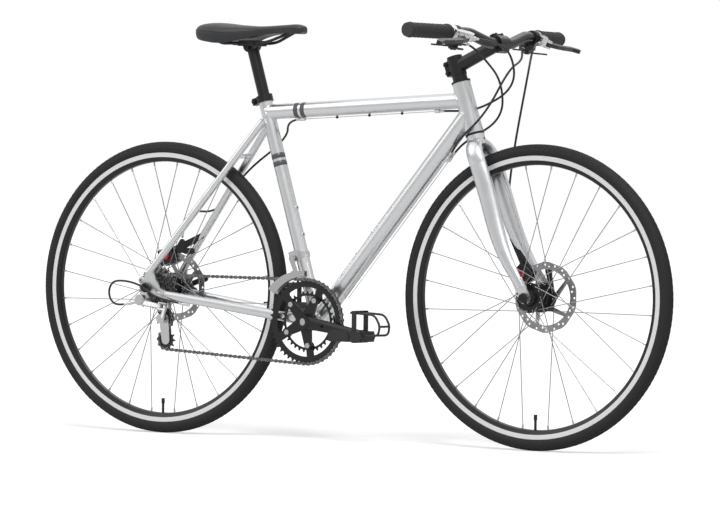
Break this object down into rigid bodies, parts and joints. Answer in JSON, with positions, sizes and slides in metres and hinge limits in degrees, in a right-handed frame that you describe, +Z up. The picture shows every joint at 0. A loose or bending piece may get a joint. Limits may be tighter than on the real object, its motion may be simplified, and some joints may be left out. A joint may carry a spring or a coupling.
{
  "type": "hybrid bike",
  "caption": "Flat-bar hybrid bicycle with a diamond frame, rigid fork, mechanical disc brakes, derailleur gears, spoked wheels, toe-clip pedals and a padded saddle.",
  "frame": {"origin": "middle of the box, on the ground the tyres stand on", "axes": "+X towards the front wheel, +Y to the rider's left, +Z up"},
  "size_m": [1.696, 0.6784, 0.9621],
  "materials": {
    "frame_alloy": "brushed",
    "black_alloy": "satin",
    "polished_alloy": "polished",
    "bright_steel": "bright",
    "chain_steel": "satin",
    "dark_steel": "satin",
    "tyre_rubber": "matte",
    "grip_rubber": "matte",
    "black_plastic": "matte",
    "saddle_cover": "matte",
    "cable_cover": "satin"
  },
  "bodies": {
    "frame": {"main_frame": "frame_alloy", "rear_stays": "frame_alloy", "frame_fittings": "frame_alloy", "seat_clamp": "black_alloy", "frame_bearings": "black_alloy", "rear_axle": "bright_steel", "rear_caliper": "black_alloy", "front_derailleur": "polished_alloy", "rear_derailleur": "polished_alloy", "frame_cables": "cable_cover", "chain": "chain_steel", "steering_housings": "cable_cover"},
    "seat": {"seatpost": "black_alloy", "saddle_rails": "dark_steel", "saddle": "saddle_cover"},
    "steerer": {"fork_crown": "frame_alloy", "fork_legs": "frame_alloy", "stem": "black_alloy", "stem_faceplate": "black_alloy", "handlebar": "black_alloy", "grips": "grip_rubber", "brake_lever_brackets": "polished_alloy", "shifter_pods": "black_plastic", "front_caliper": "black_alloy", "front_axle": "bright_steel", "front_brake_housing": "cable_cover"},
    "front_wheel": {"front_tyre": "tyre_rubber", "front_rim": "black_alloy", "front_spokes": "bright_steel", "front_hub": "black_alloy", "front_rotor": "bright_steel"},
    "rear_wheel": {"rear_tyre": "tyre_rubber", "rear_rim": "black_alloy", "rear_spokes": "bright_steel", "rear_hub": "black_alloy", "rear_rotor": "bright_steel"},
    "cassette_body": {"cassette": "dark_steel"},
    "crankset": {"chainrings": "black_alloy", "chainring_bolts": "bright_steel", "crank_arms": "black_alloy"},
    "right_pedal_body": {"right_pedal": "black_plastic", "right_toe_clip": "black_plastic"},
    "left_pedal_body": {"left_pedal": "black_plastic", "left_toe_clip": "black_plastic"},
    "right_brake_lever_body": {"right_brake_lever": "black_alloy"},
    "left_brake_lever_body": {"left_brake_lever": "black_alloy"},
    "right_thumb_lever_body": {"right_thumb_lever": "black_plastic"},
    "left_thumb_lever_body": {"left_thumb_lever": "black_plastic"},
    "right_trigger_body": {"right_release_trigger": "black_plastic"},
    "left_trigger_body": {"left_release_trigger": "black_plastic"},
    "front_caliper_arm_body": {"front_caliper_arm": "black_alloy"},
    "rear_caliper_arm_body": {"rear_caliper_arm": "black_alloy"},
    "derailleur_links_body": {"derailleur_links": "polished_alloy"},
    "derailleur_knuckle_body": {"derailleur_knuckle": "polished_alloy"},
    "derailleur_cage_body": {"derailleur_cage": "polished_alloy"},
    "guide_pulley_body": {"guide_pulley": "black_plastic"},
    "tension_pulley_body": {"tension_pulley": "black_plastic"},
    "front_derailleur_cage_body": {"front_derailleur_cage": "bright_steel"},
    "front_release_lever_body": {"front_release_lever": "black_alloy"},
    "rear_release_lever_body": {"rear_release_lever": "black_alloy"}
  },
  "joints": [
    {"name": "steering", "type": "hinge", "parent": "frame", "child": "steerer", "pos_m": [0.3201, 0, 0.76527], "axis": [-0.309, 0, 0.9511], "range_deg": [-45, 45], "deforming": ["steering_housings"]},
    {"name": "front_wheel_spin", "type": "hinge", "parent": "steerer", "child": "front_wheel", "pos_m": [0.506, 0, 0.342], "axis": [0, 1, 0], "continuous": true},
    {"name": "rear_wheel_spin", "type": "hinge", "parent": "frame", "child": "rear_wheel", "pos_m": [-0.506, 0, 0.342], "axis": [0, 1, 0], "continuous": true},
    {"name": "crank_spin", "type": "hinge", "parent": "frame", "child": "crankset", "pos_m": [-0.07499, 0, 0.273], "axis": [0, 1, 0], "continuous": true, "deforming": ["chain"]},
    {"name": "cassette_spin", "type": "hinge", "parent": "frame", "child": "cassette_body", "pos_m": [-0.506, 0, 0.342], "axis": [0, 1, 0], "continuous": true},
    {"name": "right_pedal_spin", "type": "hinge", "parent": "crankset", "child": "right_pedal_body", "pos_m": [0.09292, 0, 0.24641], "axis": [0, 1, 0], "continuous": true},
    {"name": "left_pedal_spin", "type": "hinge", "parent": "crankset", "child": "left_pedal_body", "pos_m": [-0.24289, 0, 0.29959], "axis": [0, 1, 0], "continuous": true},
    {"name": "right_brake_pull", "type": "hinge", "parent": "steerer", "child": "right_brake_lever_body", "pos_m": [0.41865, -0.18454, 0.91454], "axis": [-0.4061, 0.0556, -0.9121], "range_deg": [0, 15], "stiffness_Nm_per_rad": 2},
    {"name": "left_brake_pull", "type": "hinge", "parent": "steerer", "child": "left_brake_lever_body", "pos_m": [0.41865, 0.18454, 0.91454], "axis": [0.4061, 0.0556, 0.9121], "range_deg": [0, 15], "stiffness_Nm_per_rad": 2},
    {"name": "front_caliper_pull", "type": "hinge", "parent": "steerer", "child": "front_caliper_arm_body", "pos_m": [0.45249, 0.0619, 0.39018], "axis": [0, 1, 0], "range_deg": [0, 22]},
    {"name": "rear_caliper_pull", "type": "hinge", "parent": "frame", "child": "rear_caliper_arm_body", "pos_m": [-0.52825, 0.0746, 0.41048], "axis": [0, -1, 0], "range_deg": [0, 22]},
    {"name": "right_thumb_shift", "type": "hinge", "parent": "steerer", "child": "right_thumb_lever_body", "pos_m": [0.3774, -0.16336, 0.89898], "axis": [0.099, -0.0099, 0.995], "range_deg": [0, 30], "stiffness_Nm_per_rad": 0.4},
    {"name": "left_thumb_shift", "type": "hinge", "parent": "steerer", "child": "left_thumb_lever_body", "pos_m": [0.3774, 0.16336, 0.89898], "axis": [-0.099, -0.0099, -0.995], "range_deg": [0, 30], "stiffness_Nm_per_rad": 0.4},
    {"name": "right_trigger_shift", "type": "hinge", "parent": "steerer", "child": "right_trigger_body", "pos_m": [0.377, -0.16332, 0.895], "axis": [-0.099, 0.0099, -0.995], "range_deg": [0, 18], "stiffness_Nm_per_rad": 0.4},
    {"name": "left_trigger_shift", "type": "hinge", "parent": "steerer", "child": "left_trigger_body", "pos_m": [0.377, 0.16332, 0.895], "axis": [0.099, 0.0099, 0.995], "range_deg": [0, 18], "stiffness_Nm_per_rad": 0.4},
    {"name": "derailleur_swing", "type": "hinge", "parent": "frame", "child": "derailleur_links_body", "pos_m": [-0.507, -0.0835, 0.305], "axis": [0, 0.3499, 0.9368], "range_deg": [-14, 18], "deforming": ["chain"]},
    {"name": "derailleur_knuckle_turn", "type": "hinge", "parent": "derailleur_links_body", "child": "derailleur_knuckle_body", "pos_m": [-0.47458, -0.06543, 0.29825], "axis": [0, 0.3499, 0.9368], "range_deg": [-18.5, 14.5]},
    {"name": "cage_swing", "type": "hinge", "parent": "derailleur_knuckle_body", "child": "derailleur_cage_body", "pos_m": [-0.47, -0.05325, 0.27], "axis": [0, 1, 0], "range_deg": [-25, 25], "stiffness_Nm_per_rad": 0.8, "deforming": ["chain"]},
    {"name": "guide_pulley_spin", "type": "hinge", "parent": "derailleur_cage_body", "child": "guide_pulley_body", "pos_m": [-0.47, -0.04885, 0.27], "axis": [0, 1, 0], "continuous": true},
    {"name": "tension_pulley_spin", "type": "hinge", "parent": "derailleur_cage_body", "child": "tension_pulley_body", "pos_m": [-0.46401, -0.04885, 0.22036], "axis": [0, 1, 0], "continuous": true},
    {"name": "front_derailleur_shift", "type": "slide", "parent": "frame", "child": "front_derailleur_cage_body", "axis": [0, 1, 0], "range_m": [0, 0.0066], "deforming": ["chain"]},
    {"name": "seat_height", "type": "slide", "parent": "frame", "child": "seat", "axis": [-0.2874, 0, 0.9578], "range_m": [-0.08, 0.06]},
    {"name": "front_release_turn", "type": "hinge", "parent": "steerer", "child": "front_release_lever_body", "pos_m": [0.506, 0.0694, 0.342], "axis": [-0.9848, 0, -0.1736], "range_deg": [0, 170]},
    {"name": "rear_release_turn", "type": "hinge", "parent": "frame", "child": "rear_release_lever_body", "pos_m": [-0.506, 0.0869, 0.342], "axis": [-0.342, 0, 0.9397], "range_deg": [0, 170]}
  ],
  "couplings": [
    {"joint": "cassette_spin", "follows": "crank_spin", "ratio": 3.2},
    {"joint": "guide_pulley_spin", "follows": "crank_spin", "ratio": -4.3636},
    {"joint": "tension_pulley_spin", "follows": "crank_spin", "ratio": 4.3636},
    {"joint": "derailleur_knuckle_turn", "follows": "derailleur_swing", "ratio": -1},
    {"joint": "front_caliper_pull", "follows": "left_brake_pull", "ratio": 1.4},
    {"joint": "rear_caliper_pull", "follows": "right_brake_pull", "ratio": 1.4}
  ]
}
